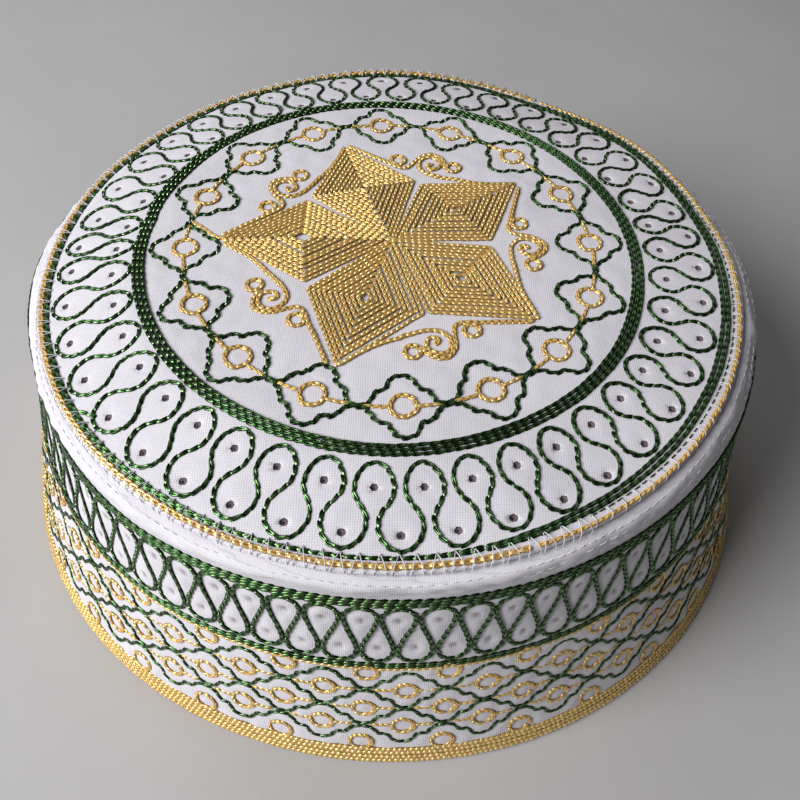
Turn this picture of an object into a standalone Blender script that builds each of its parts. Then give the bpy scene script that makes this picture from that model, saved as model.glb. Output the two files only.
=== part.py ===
"""Embroidered kufi: a round crown sewn over the turned-in top of a flared side band.

Metres, +Z up. The hem stands on z = 0 and the origin is the middle of the hem's oval.
Sizes below are in millimetres, and each function turns them into metres at its end.
"""
import math

import bmesh
import bpy
from mathutils import Vector
from mathutils.geometry import delaunay_2d_cdt

MM = 0.001

# Driving dimensions of the cap
HEIGHT = 74.0            # hem to the middle of the crown
CROWN_RADIUS = 78.0      # middle of the crown to its edge, measured along the cloth
FLAT_RADIUS = 53.0       # the crown is flat out to here
BEND_LENGTH = 7.0        # cloth taken up by the bend from flat to sloping
DOME_DROP = 0.6          # fall of the flat part from its middle to FLAT_RADIUS
CROWN_SHIFT = -1.9       # the crown sits this far to the left of the hem's middle
CLOTH = 1.5              # two layers of starched cotton
GAP = 0.3                # clearance between pieces that touch on the real cap

# Mean radius of the side band at three heights
HEM_RADIUS = 94.1
MIDDLE_RADIUS, MIDDLE_HEIGHT = 83.9, 37.1
BORDER_RADIUS, BORDER_HEIGHT = 80.4, 59.6

# Share by which the band is wider in X and narrower in Y, at the hem and at the crown
HEM_OVAL = 0.0426
CROWN_OVAL = 0.018

# Slope of the crown's outer zone, round the cap
DROOP = (
    # azimuth, degrees below level
    (0, 2.0), (15, 5.0), (30, 5.0), (60, 11.5), (90, 10.5), (120, 14.5), (150, 17.0),
    (180, 17.5), (210, 16.0), (240, 14.0), (270, 11.0), (300, 7.5), (330, 3.5),
)

# Shoulder, where the band turns in under the crown
TUCK_RADIUS = 73.5       # the band's turned-in edge, along the crown's cloth
SEAM_RADIUS = 79.0       # where the band comes out from under the crown
WALL_TOP = 61.2          # the shoulder ends and the wall begins
SHOULDER_REACH = 4.0     # how far the shoulder carries on the crown's slope
SHOULDER_RISE = 5.0      # how far it comes down in line with the wall

# Eyelets, one in each bulge of the winding line
LOBES = 42
EYELET_RADIUS = 0.75
EYELET_SIDES = 6
LOBE_KEYS = (
    # lobe number, azimuth of its outer eyelet, radius of the outer and of the inner eyelet:
    # the line was guided by hand, so its pitch and place wander
    (0, 173.1, 69.0, 59.2), (2, 153.0, 70.2, 59.4), (9, 93.3, 71.0, 60.2),
    (17, 23.6, 69.8, 59.6), (18, 14.2, 69.4, 61.0), (19, 7.2, 70.4, 61.0),
    (20, -1.8, 70.0, 61.2), (26, -54.1, 71.2, 61.4), (30, -87.0, 71.2, 62.6),
    (35, -128.9, 71.1, 60.9), (37, -146.8, 70.9, 60.6), (40, -172.8, 70.9, 60.8),
    (41, -179.0, 70.9, 60.4), (42, -186.9, 69.0, 59.2),
)

# Rows of chain stitch that lie side by side, as one raised band each
THREAD_HEIGHT = 0.9
CHAMFER = 0.35
CROWN_BANDS = (
    # name, middle radius along the cloth, width, material
    ("crown_ring", 54.9, 2.9, "green_thread"),
    ("edge_ring", 74.7, 1.9, "green_thread"),
    ("rim_cord", 76.9, 1.5, "gold_thread"),
)
WALL_BANDS = (
    # name, middle height, width, material
    ("upper_border", 59.7, 3.1, "green_thread"),
    ("lower_border", 36.8, 2.9, "green_thread"),
    ("hem_braid", 3.3, 5.8, "gold_thread"),
)

# Gold star of five lozenges
STAR_TIPS = (109.0, 39.0, -34.0, -105.0, -179.0)
TIP_RADIUS = 37.0
ELBOW_RADIUS = 22.6
ELBOW_ANGLE = 31.5
HEART_RADIUS = 2.4
STAR_EDGE_HEIGHT = 0.7
STAR_RIDGE_HEIGHT = 1.3

SEGMENTS = 72
SHOULDER_STEPS = 4
WALL_HEIGHTS = (50.0, 37.1, 24.0, 11.0, 0.0)

# name: (colour, roughness, metallic value)
FINISHES = {
    "white_cotton": ((0.80, 0.79, 0.84), 0.9, 0.0),
    "green_thread": ((0.01, 0.11, 0.03), 0.35, 0.0),
    "gold_thread": ((0.62, 0.40, 0.10), 0.3, 0.8),
}


def clear_scene():
    for item in list(bpy.data.objects):
        bpy.data.objects.remove(item, do_unlink=True)


def read_table(rows, value):
    """Straight-line reading of a table: the columns after the first, at a value of the first."""
    for row, following in zip(rows, rows[1:]):
        if row[0] <= value <= following[0]:
            share = (value - row[0]) / (following[0] - row[0])
            return [a + (b - a) * share for a, b in zip(row[1:], following[1:])]
    raise ValueError("value outside the table")


def droop(azimuth):
    """Slope of the crown's outer zone in radians, eased between the table's rows."""
    azimuth = azimuth % 360
    rows = DROOP + ((360, DROOP[0][1]),)
    for (a0, d0), (a1, d1) in zip(rows, rows[1:]):
        if a0 <= azimuth <= a1:
            share = (azimuth - a0) / (a1 - a0)
            ease = share * share * (3 - 2 * share)
            return math.radians(d0 + (d1 - d0) * ease)
    raise ValueError("azimuth outside the table")


def crown_section(azimuth, along, lift):
    """Radius and height of the crown's cloth, `along` from its middle, `lift` above it."""
    full = droop(azimuth)
    bend_radius = BEND_LENGTH / full
    bent = min(max(along - FLAT_RADIUS, 0.0), BEND_LENGTH)
    straight = max(along - FLAT_RADIUS - BEND_LENGTH, 0.0)
    turn = bent / bend_radius
    radius = min(along, FLAT_RADIUS) + bend_radius * math.sin(turn) + straight * math.cos(full)
    fall = bend_radius * (1 - math.cos(turn)) + straight * math.sin(full)
    fall += DOME_DROP * (min(along, FLAT_RADIUS) / FLAT_RADIUS) ** 2
    return radius + lift * math.sin(turn), HEIGHT - fall + lift * math.cos(turn)


def crown_point(azimuth, along, lift):
    radius, height = crown_section(azimuth, along, lift)
    angle = math.radians(azimuth)
    x = CROWN_SHIFT + radius * math.cos(angle)
    return Vector((x, radius * math.sin(angle), height)) * MM


def wall_radius(height):
    """Mean radius of the wall: the parabola through the hem, middle and border."""
    knots = ((0.0, HEM_RADIUS), (MIDDLE_HEIGHT, MIDDLE_RADIUS), (BORDER_HEIGHT, BORDER_RADIUS))
    total = 0.0
    for i, (zi, radius) in enumerate(knots):
        term = radius
        for j, (zj, _) in enumerate(knots):
            if j != i:
                term *= (height - zj) / (zi - zj)
        total += term
    return total


def wall_section(azimuth, height, lift):
    """Radius and height of the wall's outer face, `lift` out from it."""
    step = 0.5
    slope = (wall_radius(height + step) - wall_radius(height - step)) / (2 * step)
    length = math.hypot(1.0, slope)
    oval = HEM_OVAL + (CROWN_OVAL - HEM_OVAL) * height / HEIGHT
    radius = wall_radius(height) * (1 + oval * math.cos(2 * math.radians(azimuth)))
    return radius + lift / length, height - lift * slope / length


def place_on_band(azimuth, radius, height):
    """The band's middle moves from the hem's middle to the crown's, with height."""
    angle = math.radians(azimuth)
    x = CROWN_SHIFT * height / HEIGHT + radius * math.cos(angle)
    return Vector((x, radius * math.sin(angle), height)) * MM


def wall_point(azimuth, height, lift):
    return place_on_band(azimuth, *wall_section(azimuth, height, lift))


def shoulder_curve(azimuth):
    """Bezier from the seam, in line with the crown, to the top of the wall."""
    sunk = -(CLOTH + GAP)
    slope = droop(azimuth)
    r0, z0 = crown_section(azimuth, SEAM_RADIUS, sunk)
    r3, z3 = wall_section(azimuth, WALL_TOP, 0.0)
    r1, z1 = r0 + SHOULDER_REACH * math.cos(slope), z0 - SHOULDER_REACH * math.sin(slope)
    r2, z2 = wall_section(azimuth, WALL_TOP + SHOULDER_RISE, 0.0)
    points = []
    for i in range(1, SHOULDER_STEPS + 1):
        t = i / SHOULDER_STEPS
        weights = ((1 - t) ** 3, 3 * t * (1 - t) ** 2, 3 * t * t * (1 - t), t ** 3)
        points.append((
            sum(w * r for w, r in zip(weights, (r0, r1, r2, r3))),
            sum(w * z for w, z in zip(weights, (z0, z1, z2, z3))),
        ))
    return points


def band_profile(azimuth):
    """Outer face of the band at one azimuth, from its turned-in edge to the hem."""
    sunk = -(CLOTH + GAP)
    profile = [
        crown_section(azimuth, TUCK_RADIUS, sunk),
        crown_section(azimuth, SEAM_RADIUS, sunk),
    ]
    profile += shoulder_curve(azimuth)
    profile += [wall_section(azimuth, height, 0.0) for height in WALL_HEIGHTS]
    return profile


def inner_face(profile):
    """The profile moved in by the cloth's thickness, with the hem kept on the floor."""
    inner = []
    last = len(profile) - 1
    for i, (r, z) in enumerate(profile):
        (ra, za), (rb, zb) = profile[max(i - 1, 0)], profile[min(i + 1, last)]
        length = math.hypot(rb - ra, zb - za)
        inner.append((r + (zb - za) / length * CLOTH, z - (rb - ra) / length * CLOTH))
    inner[last] = (inner[last][0], profile[last][1])
    return inner


def finish_material(name):
    colour, roughness, metallic = FINISHES[name]
    material = bpy.data.materials.get(name) or bpy.data.materials.new(name)
    material.use_nodes = True
    shader = material.node_tree.nodes["Principled BSDF"]
    shader.inputs["Base Color"].default_value = (*colour, 1.0)
    shader.inputs["Roughness"].default_value = roughness
    shader.inputs["Metallic"].default_value = metallic
    return material


def add_part(name, mesh_data, material, smooth=True):
    """Make an object of a bmesh, with its faces pointing out."""
    bmesh.ops.recalc_face_normals(mesh_data, faces=mesh_data.faces)
    mesh = bpy.data.meshes.new(name)
    mesh_data.to_mesh(mesh)
    mesh_data.free()
    if smooth:
        mesh.shade_smooth()
        mesh.set_sharp_from_angle(angle=math.radians(35))
    mesh.materials.append(finish_material(material))
    part = bpy.data.objects.new(name, mesh)
    bpy.context.collection.objects.link(part)
    return part


def sweep_loops(name, loops, material):
    """Join closed cross sections, one for each azimuth, into one closed ring."""
    mesh_data = bmesh.new()
    rings = [[mesh_data.verts.new(point) for point in loop] for loop in loops]
    for ring, following in zip(rings, rings[1:] + rings[:1]):
        count = len(ring)
        for i in range(count):
            j = (i + 1) % count
            mesh_data.faces.new((ring[i], ring[j], following[j], following[i]))
    return add_part(name, mesh_data, material)


def azimuths():
    return [360.0 * i / SEGMENTS for i in range(SEGMENTS)]


def eyelet_outline(azimuth, radius):
    """A small polygon in the crown's flat layout."""
    angle = math.radians(azimuth)
    x, y = radius * math.cos(angle), radius * math.sin(angle)
    outline = []
    for i in range(EYELET_SIDES):
        turn = 2 * math.pi * i / EYELET_SIDES
        outline.append(Vector((x + EYELET_RADIUS * math.cos(turn), y + EYELET_RADIUS * math.sin(turn))))
    return outline


def eyelet_outlines():
    outlines = []
    for number in range(LOBES):
        azimuth, outer, _ = read_table(LOBE_KEYS, number)
        outlines.append(eyelet_outline(azimuth, outer))
        azimuth, _, inner = read_table(LOBE_KEYS, number + 0.5)
        outlines.append(eyelet_outline(azimuth, inner))
    return outlines


def circle_outline(radius, count):
    points = []
    for i in range(count):
        angle = 2 * math.pi * i / count
        points.append(Vector((radius * math.cos(angle), radius * math.sin(angle))))
    return points


def crown_layout():
    """Flat triangulated layout of the crown with its eyelets left open."""
    points = [Vector((0.0, 0.0))]
    edges = []
    for radius, count in ((18.0, 12), (36.0, 24), (FLAT_RADIUS, 48), (57.0, 48), (66.0, 48)):
        points += circle_outline(radius, count)
    loops = [circle_outline(CROWN_RADIUS, SEGMENTS)] + eyelet_outlines()
    for loop in loops:
        start = len(points)
        points += loop
        edges += [(start + i, start + (i + 1) % len(loop)) for i in range(len(loop))]
    verts, _, faces, *_ = delaunay_2d_cdt(points, edges, [], 1, 1e-5)
    centres = [sum(loop, Vector((0.0, 0.0))) / len(loop) for loop in loops[1:]]
    return verts, [face for face in faces if not in_eyelet(verts, face, centres)]


def in_eyelet(verts, face, centres):
    middle = sum((verts[i] for i in face), Vector((0.0, 0.0))) / len(face)
    return any((middle - centre).length < 0.9 * EYELET_RADIUS for centre in centres)


def make_crown():
    """The crown: the layout laid on the drooping disc, as thick as its cloth."""
    layout, faces = crown_layout()
    mesh_data = bmesh.new()
    layers = []
    for lift in (0.0, -CLOTH):
        layer = []
        for point in layout:
            azimuth = math.degrees(math.atan2(point.y, point.x))
            layer.append(mesh_data.verts.new(crown_point(azimuth, point.length, lift)))
        layers.append(layer)
    top, bottom = layers
    for face in faces:
        mesh_data.faces.new([top[i] for i in face])
        mesh_data.faces.new([bottom[i] for i in reversed(face)])
    for a, b in border_edges(faces):
        mesh_data.faces.new((top[b], top[a], bottom[a], bottom[b]))
    return add_part("crown", mesh_data, "white_cotton")


def border_edges(faces):
    """Directed edges that only one face uses: the rim and the eyelets' edges."""
    used = set()
    for face in faces:
        for i, a in enumerate(face):
            used.add((a, face[(i + 1) % len(face)]))
    return sorted((a, b) for a, b in used if (b, a) not in used)


def make_side_band():
    """The side band: outer and inner face of each section as one closed loop."""
    loops = []
    for azimuth in azimuths():
        outer = band_profile(azimuth)
        section = outer + inner_face(outer)[::-1]
        loops.append([place_on_band(azimuth, r, z) for r, z in section])
    return sweep_loops("side_band", loops, "white_cotton")


def raised_section(middle, width):
    """Offsets of a raised band: its two feet, then its narrower top."""
    half = width / 2
    top = GAP + THREAD_HEIGHT
    return (
        (middle - half, GAP),
        (middle + half, GAP),
        (middle + half - CHAMFER, top),
        (middle - half + CHAMFER, top),
    )


def make_crown_band(name, middle, width, material):
    section = raised_section(middle, width)
    loops = [[crown_point(azimuth, along, lift) for along, lift in section] for azimuth in azimuths()]
    return sweep_loops(name, loops, material)


def make_wall_band(name, middle, width, material):
    section = raised_section(middle, width)
    loops = [[wall_point(azimuth, height, lift) for height, lift in section] for azimuth in azimuths()]
    return sweep_loops(name, loops, material)


def make_star_point(number, azimuth):
    """One lozenge of the star: four facets that rise to its middle."""
    corners = (
        (azimuth, HEART_RADIUS),
        (azimuth - ELBOW_ANGLE, ELBOW_RADIUS),
        (azimuth, TIP_RADIUS),
        (azimuth + ELBOW_ANGLE, ELBOW_RADIUS),
    )
    mesh_data = bmesh.new()
    foot = [mesh_data.verts.new(crown_point(a, r, GAP)) for a, r in corners]
    edge = [mesh_data.verts.new(crown_point(a, r, GAP + STAR_EDGE_HEIGHT)) for a, r in corners]
    middle_radius = ELBOW_RADIUS * math.cos(math.radians(ELBOW_ANGLE))
    peak = mesh_data.verts.new(crown_point(azimuth, middle_radius, GAP + STAR_RIDGE_HEIGHT))
    mesh_data.faces.new(foot)
    for i in range(len(corners)):
        j = (i + 1) % len(corners)
        mesh_data.faces.new((foot[i], foot[j], edge[j], edge[i]))
        mesh_data.faces.new((edge[i], edge[j], peak))
    return add_part(f"star_point_{number}", mesh_data, "gold_thread", smooth=False)


def main():
    clear_scene()
    make_crown()
    make_side_band()
    for row in CROWN_BANDS:
        make_crown_band(*row)
    for row in WALL_BANDS:
        make_wall_band(*row)
    for number, azimuth in enumerate(STAR_TIPS, start=1):
        make_star_point(number, azimuth)


main()
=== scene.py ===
"""Looks of the embroidered kufi: starched cloth with every chain stitch sewn as geometry.

The shapes below are worked out in millimetres, +Z up, in the CAD frame, and every mesh is
turned into metres when it is made. The hem stands on the floor at z = 0.
"""
import math

import bpy
import numpy as np
from mathutils import Matrix, Vector
from mathutils.geometry import delaunay_2d_cdt
from mathutils.kdtree import KDTree


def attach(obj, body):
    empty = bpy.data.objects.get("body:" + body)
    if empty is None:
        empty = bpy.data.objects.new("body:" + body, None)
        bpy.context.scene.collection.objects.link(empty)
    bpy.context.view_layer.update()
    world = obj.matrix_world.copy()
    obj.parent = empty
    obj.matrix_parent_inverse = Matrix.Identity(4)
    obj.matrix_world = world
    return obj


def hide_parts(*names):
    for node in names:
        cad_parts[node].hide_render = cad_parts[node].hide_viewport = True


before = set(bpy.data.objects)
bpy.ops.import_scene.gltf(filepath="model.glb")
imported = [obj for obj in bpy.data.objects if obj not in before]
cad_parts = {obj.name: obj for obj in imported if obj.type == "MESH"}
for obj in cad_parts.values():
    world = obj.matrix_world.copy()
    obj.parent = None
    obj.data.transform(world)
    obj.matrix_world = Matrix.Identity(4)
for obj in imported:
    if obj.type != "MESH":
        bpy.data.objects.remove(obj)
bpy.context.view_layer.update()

MM = 0.001

# The cap's surfaces, as in the CAD
HEIGHT = 74.0
CROWN_RADIUS = 78.0
FLAT_RADIUS = 53.0
BEND_LENGTH = 7.0
DOME_DROP = 0.6
CROWN_SHIFT = -1.9
CLOTH = 1.5
GAP = 0.3
HEM_RADIUS = 94.1
MIDDLE_RADIUS, MIDDLE_HEIGHT = 83.9, 37.1
BORDER_RADIUS, BORDER_HEIGHT = 80.4, 59.6
HEM_OVAL = 0.0426
CROWN_OVAL = 0.018
DROOP = (
    # azimuth, degrees below level of the crown's outer zone
    (0, 2.0), (15, 5.0), (30, 5.0), (60, 11.5), (90, 10.5), (120, 14.5), (150, 17.0),
    (180, 17.5), (210, 16.0), (240, 14.0), (270, 11.0), (300, 7.5), (330, 3.5), (360, 2.0),
)
TUCK_RADIUS = 73.5
SEAM_RADIUS = 79.0
# Mean radii at which stitches are spaced out, on the rim and on the shoulder
RIM_RADIUS, SHOULDER_RADIUS = 76.0, 81.0
WALL_TOP = 61.2
SHOULDER_REACH = 2.7
# The wall's top against the mean wall, from RISE_FROM up over the height RISE_OVER
RISE_FROM, RISE_OVER = 20.0, 41.0
WALL_SIDES = (
    # azimuth, rise, widening, height of the shoulder's bend over the wall's top
    (-180, 1.5, -0.3, 1.0), (-170, 0.8, -0.9, 1.0), (-160, 0.2, -1.8, 1.0), (-150, 0.0, -1.8, 1.0),
    (-140, 0.0, -1.0, 1.2), (-125, 0.0, 0.0, 2.2), (-60, 0.0, 0.1, 2.2), (-40, 0.2, 0.5, 1.5),
    (-30, 0.5, 1.0, 1.0), (-20, 1.0, 1.2, 1.0), (-10, 1.6, 1.4, 1.0), (0, 2.4, 1.7, 1.0),
    (15, 3.0, 2.0, 1.0), (60, 2.5, 0.8, 1.0), (110, 1.5, 0.0, 1.0), (180, 1.5, -0.3, 1.0),
)
HEM_WIDENING = -1.0
# Rows of the band's cloth down the wall: first height, last one and step
BAND_HEIGHTS = (
    (WALL_TOP - 0.9, 58.0, -0.9), (57.6, 38.4, -0.7), (37.8, 6.5, -1.1), (6.0, 0.2, -1.0),
    (0.0, -1.0, -1.0),
)
# Length of a degree and of a millimetre of height along the wall, for even steps on its lines
WALL_SCALE = (math.radians(85.0), 1.0)

# Winding line of the crown: one lobe outwards at each whole number
LOBES = 42
LOBE_KEYS = (
    # lobe number, azimuth of its outer eyelet, radius of the outer and of the inner eyelet
    (0, 172.2, 69.0, 59.2), (2, 152.8, 70.2, 59.4), (9, 93.3, 71.0, 60.2),
    (17, 23.6, 69.4, 59.6), (18, 14.2, 68.8, 61.0), (19, 7.0, 69.4, 61.0),
    (20, -2.1, 68.9, 61.2), (22, -20.0, 69.2, 61.1), (24, -37.2, 70.1, 61.2),
    (26, -54.3, 71.0, 61.4), (30, -87.0, 71.2, 62.6),
    (35, -128.9, 71.1, 60.9), (37, -147.3, 71.1, 60.6), (38.5, -160.6, 71.5, 60.7),
    (40, -173.9, 71.0, 60.8), (41, -180.2, 70.9, 60.4), (42, -187.8, 69.0, 59.2),
)
EYELET_RADIUS = 0.82
# How far the line swings back under its lobes, how blunt they are, and how unevenly sewn
LOBE_SWING, LOBE_BLUNT, LOBE_WOBBLE = 0.26, 0.113, 0.35
LOBE_REACH = (
    # azimuth, radius of the line's outer tops, radius of its inner ends
    (-180, 74.0, 56.4), (-150, 74.0, 57.0), (-90, 74.0, 57.6), (-50, 73.0, 57.4),
    (-30, 71.9, 57.4), (0, 71.7, 57.4), (30, 72.0, 57.4), (60, 72.0, 57.6), (90, 74.3, 57.6),
    (120, 74.7, 57.0), (150, 74.7, 56.4), (170, 72.9, 56.0), (180, 74.0, 56.4),
)

# Rows along the crown's edge
EDGE_ROWS = (
    # azimuth, radius of the inner green row, of the outer green row and of the gold row
    (-180, 75.5, 76.0, 77.1), (-150, 75.4, 75.9, 76.8), (-120, 75.2, 75.7, 76.8),
    (-108, 75.3, 75.5, 76.8), (-85, 75.3, 75.4, 76.8), (-76, 74.9, 75.4, 77.0),
    (-68, 74.5, 75.3, 77.2), (-60, 74.1, 75.1, 77.3), (-45, 73.8, 74.9, 77.4),
    (-30, 73.5, 74.6, 77.2), (0, 73.1, 74.3, 76.6), (25, 73.0, 74.2, 76.5),
    (45, 73.1, 74.3, 76.6), (60, 72.9, 74.0, 76.6), (90, 74.3, 75.3, 77.0),
    (120, 75.0, 76.0, 77.1), (160, 75.4, 76.1, 77.2), (180, 75.5, 76.0, 77.1),
)
# Thin dark seam between the green rows and the gold one, on the right side, and its dashes
SEAM_LINE = (
    # azimuth, radius
    (-62, 75.9), (-45, 75.9), (-30, 75.8), (0, 75.4), (25, 75.3), (45, 75.4), (58, 75.4),
)
SEAM_START, SEAM_PITCH, SEAM_DASHES = -60.0, 1.57, 75
RING_ROWS = (54.0, 54.95, 55.9)
# The ring is dented here: azimuth, depth and half-width in degrees
RING_DENT = (175.0, 0.45, 5.0)

# Five gold lozenges of the star in the crown's plan, seen from above, and where they meet
HEART = (0.3, 1.0)
STAR_POINTS = (
    # tip azimuth and radius, two elbows' azimuth and radius, x and y of the hole in the middle
    (109.3, 36.9, 77.4, 23.1, 140.4, 24.1, -6.6, 18.6),
    (38.7, 37.8, 7.3, 22.8, 72.7, 22.2, 14.9, 12.5),
    (-33.8, 37.7, -67.7, 22.4, 0.7, 22.3, 15.4, -10.6),
    (-105.3, 37.1, -138.9, 22.9, -71.0, 22.2, -5.0, -17.5),
    (180.4, 37.4, 145.4, 23.8, 215.8, 22.2, -19.6, 0.5),
)
STAR_ROWS = 10
STAR_ROW_WIDTH = 1.02
# How far the outermost row lies inside the outline, and how unevenly the rows are laid
STAR_INSET, STAR_WANDER = 0.1, 0.09
# All rows of the star are sewn towards this side of the crown's plan
ROWS_RUN = (0.53, 0.85)

# Scroll between two lozenges: x to the clockwise side and y outwards, in millimetres
SCROLL_TURNS = (74.0, 145.0, 218.0, 290.5, 2.5)
SCROLL_STEM = (
    (21.2, 30.0), (18.0, 28.9), (15.2, 28.0), (12.5, 27.4), (10.0, 27.2), (8.0, 27.1),
    (5.0, 26.8), (2.5, 26.7), (0.0, 27.2),
    (-1.5, 28.3), (-2.2, 30.0), (-2.0, 31.8), (-1.0, 33.2), (0.3, 33.6), (1.8, 33.0),
    (2.8, 31.9), (3.0, 30.8), (2.2, 29.3), (0.8, 28.9), (0.0, 30.0), (1.0, 30.8),
)
SCROLL_HOOK = (
    (-20.6, 31.0), (-17.5, 30.1), (-15.0, 29.4), (-12.5, 28.7), (-10.0, 28.1), (-8.0, 27.5),
    (-6.0, 27.0), (-4.5, 27.4), (-3.8, 28.8),
    (-3.3, 30.5), (-2.8, 32.2), (-1.5, 34.0), (0.2, 34.8), (2.0, 34.2), (3.2, 33.0),
    (3.9, 31.7), (4.2, 30.8),
)
SCROLL_RINGS = (
    # middle x and y, radius
    (-7.4, 29.6, 1.7),
    (6.1, 31.3, 1.65),
)

# Ring of flowers: x along the circle of FLOWER_RADIUS, clockwise, and the radius
FLOWERS = 16
FLOWER_RADIUS = 45.0
FLOWER_START = 94.51
FLOWER_OUTER = (
    (-8.84, 45.8), (-7.5, 45.8), (-6.5, 46.6), (-5.6, 48.0), (-4.6, 49.0), (-3.2, 49.1),
    (-2.7, 50.0), (-2.1, 51.4), (-1.2, 52.1), (0.0, 52.4), (1.0, 52.1), (2.0, 51.2),
    (2.6, 49.9), (3.2, 49.2), (4.2, 49.0), (5.0, 48.4), (5.8, 47.2), (6.6, 46.3), (7.5, 45.9),
)
FLOWER_INNER = (
    (-8.84, 45.4), (-7.5, 45.2), (-6.7, 44.7), (-6.2, 43.6), (-5.8, 42.2), (-4.9, 41.6),
    (-3.8, 41.1), (-3.4, 40.2), (-3.0, 39.2), (-2.2, 38.3), (-0.8, 37.8), (0.8, 37.8),
    (2.0, 38.1), (2.9, 39.0), (3.4, 40.3), (3.7, 41.1), (4.6, 41.4), (5.6, 41.9), (6.0, 43.0),
    (6.4, 44.1), (7.2, 45.0),
)
FLOWER_RING_RADIUS = 2.6
FLOWER_MIDDLE = 45.1
# Bars between the flowers' rings: their reach from a ring's middle and their radius
FLOWER_BAR, FLOWER_BAR_RADIUS = (2.9, 7.6), 45.3
# Gold row that ties the left lozenge's tip to the flowers, and a green one that ties a lobe
# to the edge: azimuth and radius
TIP_ROW = ((173.6, 45.0), (176.0, 42.0), (178.6, 39.6), (180.2, 37.4))
LINK_ROW = ((-142.6, 74.9), (-141.3, 74.0), (-139.8, 73.0))

# Winding line of the side wall
WALL_LOBES = 74
WALL_LOBE_KEYS = (
    # lobe number, azimuth of its upper dimple
    (0, -107.8), (1, -102.9), (2, -97.75), (3, -92.4), (4, -87.4), (5, -81.9), (74, 252.2),
)
WALL_LOBE_MIDDLE = 48.3
WALL_LOBE_REACH = 9.5
# How far the lobes lean, how far the line swings back under them, and how unevenly it is sewn
WALL_LOBE_LEAN, WALL_LOBE_SWING, WALL_LOBE_WOBBLE = 0.1, 0.30, 0.3
# Dimples inside the lobes: heights, and half their width and height
DIMPLE_ROWS = (53.2, 43.3)
DIMPLE_WIDTH, DIMPLE_HEIGHT = 0.75, 1.05

# Lattice under it: columns of small rings between waved lines
COLUMNS = 32
COLUMN_KEYS = (
    # column number, azimuth of the ring in the top row
    (0, -138.3), (1, -127.0), (2, -115.4), (3, -103.6), (4, -91.9), (5, -80.2), (6, -68.6),
    (7, -57.1), (8, -45.2), (9, -33.1), (32, 221.7),
)
COLUMN_PITCH = 17.0
# The columns lean by COLUMN_LEAN from the top row of rings to the bottom one
COLUMN_LEAN = -1.2
LATTICE_TOP, LATTICE_FALL = 34.0, 26.0
LATTICE_WAVE = (
    # x from a crest and share of the height from trough (-1) to crest (1)
    (0.0, 1.0), (1.5, 0.9), (2.5, 0.6), (3.3, 0.13), (3.8, -0.03), (4.8, 0.03), (5.6, -0.13),
    (6.1, -0.53), (6.8, -0.83), (7.8, -0.97), (8.5, -1.0),
)
LATTICE_LINES = (
    # height of its crests, of its troughs, columns by which its crests are shifted
    (34.0, 28.0, 0.5),
    (27.2, 21.1, 0.0),
    (20.4, 14.8, 0.5),
    (13.8, 8.1, 0.0),
)
LATTICE_RINGS = (
    # height, shift in columns, whether it has bars at its sides
    (34.0, 0.0, False),
    (27.4, 0.5, True),
    (20.6, 0.0, True),
    (14.2, 0.5, True),
    (7.8, 0.0, False),
)
LATTICE_RING_RADIUS = 2.35
LATTICE_BAR = (2.6, 6.3)

# Rows round the wall
UPPER_BORDER_ROWS = (60.7, 59.7, 58.7)
LOWER_BORDER_ROWS = (37.4, 36.45)
THIN_GOLD_ROW = 35.5
HEM_ROWS = (5.3, 4.0, 2.5, 1.2)

# Kinds of chain stitch: pitch, width of the loop and radius of the thread, and where they
# differ from the usual, how far the loops wander sideways and how much they lean
GREEN_PITCH, GOLD_PITCH = 2.0, 1.45
RIM_STITCH = dict(pitch=1.75, width=1.4, thread=0.33)
RIGHT_RIM_STITCH = dict(pitch=GOLD_PITCH, width=1.0, thread=0.26)
EDGE_STITCH = dict(pitch=GREEN_PITCH, width=0.85, thread=0.21)
RIGHT_EDGE_STITCH = dict(pitch=GREEN_PITCH, width=1.04, thread=0.29, slant=0.0)
RING_STITCH = dict(pitch=GREEN_PITCH, width=1.02, thread=0.25, slant=0.0)
STAR_STITCH = dict(pitch=GOLD_PITCH, width=1.0, thread=0.22)
WINDING_STITCH = dict(pitch=GREEN_PITCH, width=0.98, thread=0.24, slant=0.12)
LINK_STITCH = dict(pitch=GREEN_PITCH, width=0.9, thread=0.22, slant=0.12)
FLOWER_STITCH = dict(pitch=GREEN_PITCH, width=1.0, thread=0.24, wander=0.07, slant=0.2)
FLOWER_RING_STITCH = dict(pitch=GOLD_PITCH, width=1.15, thread=0.27, wander=0.06)
FLOWER_BAR_STITCH = dict(pitch=GOLD_PITCH, width=0.95, thread=0.24)
SCROLL_STITCH = dict(pitch=GOLD_PITCH, width=1.25, thread=0.3)
UPPER_BORDER_STITCH = dict(pitch=2.04, width=1.0, thread=0.25, slant=0.12)
LOWER_BORDER_STITCH = dict(pitch=2.04, width=1.0, thread=0.24)
THIN_GOLD_STITCH = dict(pitch=GOLD_PITCH, width=0.8, thread=0.2)
HEM_STITCH = dict(pitch=1.22, width=1.38, thread=0.36, wander=0.04, slant=0.0)
WALL_WINDING_STITCH = dict(pitch=GREEN_PITCH, width=1.2, thread=0.27)
LATTICE_STITCH = dict(pitch=GREEN_PITCH, width=0.98, thread=0.22)
LATTICE_RING_STITCH = dict(pitch=GOLD_PITCH, width=1.1, thread=0.27)
LATTICE_BAR_STITCH = dict(pitch=GOLD_PITCH, width=0.85, thread=0.23)
# Usual sideways step of a stitch per length of it: loops lean by the thread's twist
SLANT = 0.06
# Rings of points round a loop, on the crown and on the wall
LEG_STEPS, WALL_LEG_STEPS = 10, 8

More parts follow.
